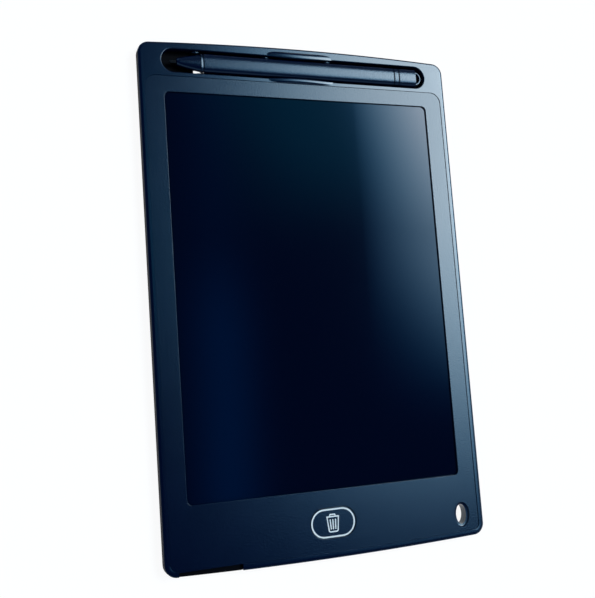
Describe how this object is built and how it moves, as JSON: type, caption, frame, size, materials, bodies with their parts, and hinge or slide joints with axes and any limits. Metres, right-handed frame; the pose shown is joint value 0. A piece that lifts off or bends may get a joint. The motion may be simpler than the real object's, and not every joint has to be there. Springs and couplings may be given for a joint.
{
  "type": "lcd writing tablet",
  "caption": "Slim LCD writing tablet with a recessed dark screen, a pill-shaped erase button, a stylus clipped in a top-edge trough, a lanyard hole and a pull-out coin cell tray.",
  "frame": {"origin": "on the table, under the middle of the tablet lying on its back", "axes": "+Z out of the screen, +Y up the page towards the stylus, +X to the right as the screen is read"},
  "size_m": [0.145, 0.2222, 0.0058],
  "materials": {
    "case_plastic": "fine-grained near-black plastic with a navy tint, smoother on the rim",
    "stylus_plastic": "fine satin near-black plastic with a navy tint",
    "screen_film": "glossy, near-black with a blue tint",
    "black_plastic": "plain black moulding or film",
    "flex_film": "amber printed film",
    "board_laminate": "green solder mask",
    "capacitor_ceramic": "brown chip capacitor body",
    "cell_steel": "bright nickel-plated steel",
    "button_print": "thin white print on the erase button, drawn only in the looks",
    "contact_brass": "bright sprung strip"
  },
  "bodies": {
    "case": {"front_frame": "case_plastic", "rear_shell": "black_plastic", "screen_tape": "black_plastic", "screen_front_film": "screen_film", "screen_cell": "screen_film", "screen_backing": "black_plastic", "screen_flex": "flex_film", "circuit_board": "board_laminate", "driver_chip": "black_plastic", "reservoir_capacitor": "capacitor_ceramic", "filter_capacitor": "capacitor_ceramic", "erase_switch_body": "black_plastic", "battery_contact_positive": "contact_brass", "battery_contact_negative": "contact_brass", "lock_switch_body": "cell_steel"},
    "erase_button": {"erase_button": "case_plastic", "erase_switch_plunger": "black_plastic"},
    "battery_tray": {"battery_tray": "black_plastic", "coin_cell": "cell_steel"},
    "lock_slider": {"lock_slider": "case_plastic", "lock_switch_lever": "black_plastic"},
    "stylus": {"stylus_nib": "black_plastic", "stylus_nose": "stylus_plastic", "stylus_barrel": "stylus_plastic", "stylus_ring": "stylus_plastic", "stylus_cap": "stylus_plastic"}
  },
  "joints": [
    {"name": "erase_press", "type": "slide", "parent": "case", "child": "erase_button", "axis": [0, 0, -1], "range_m": [0, 0.0004], "stiffness_N_per_m": 3000},
    {"name": "tray_pull", "type": "slide", "parent": "case", "child": "battery_tray", "axis": [0, -1, 0], "range_m": [0, 0.03]},
    {"name": "lock_slide", "type": "slide", "parent": "case", "child": "lock_slider", "axis": [1, 0, 0], "range_m": [0, 0.003]},
    {"name": "stylus_lift", "type": "slide", "parent": "case", "child": "stylus", "axis": [0, 0, 1], "range_m": [0, 0.03]}
  ]
}
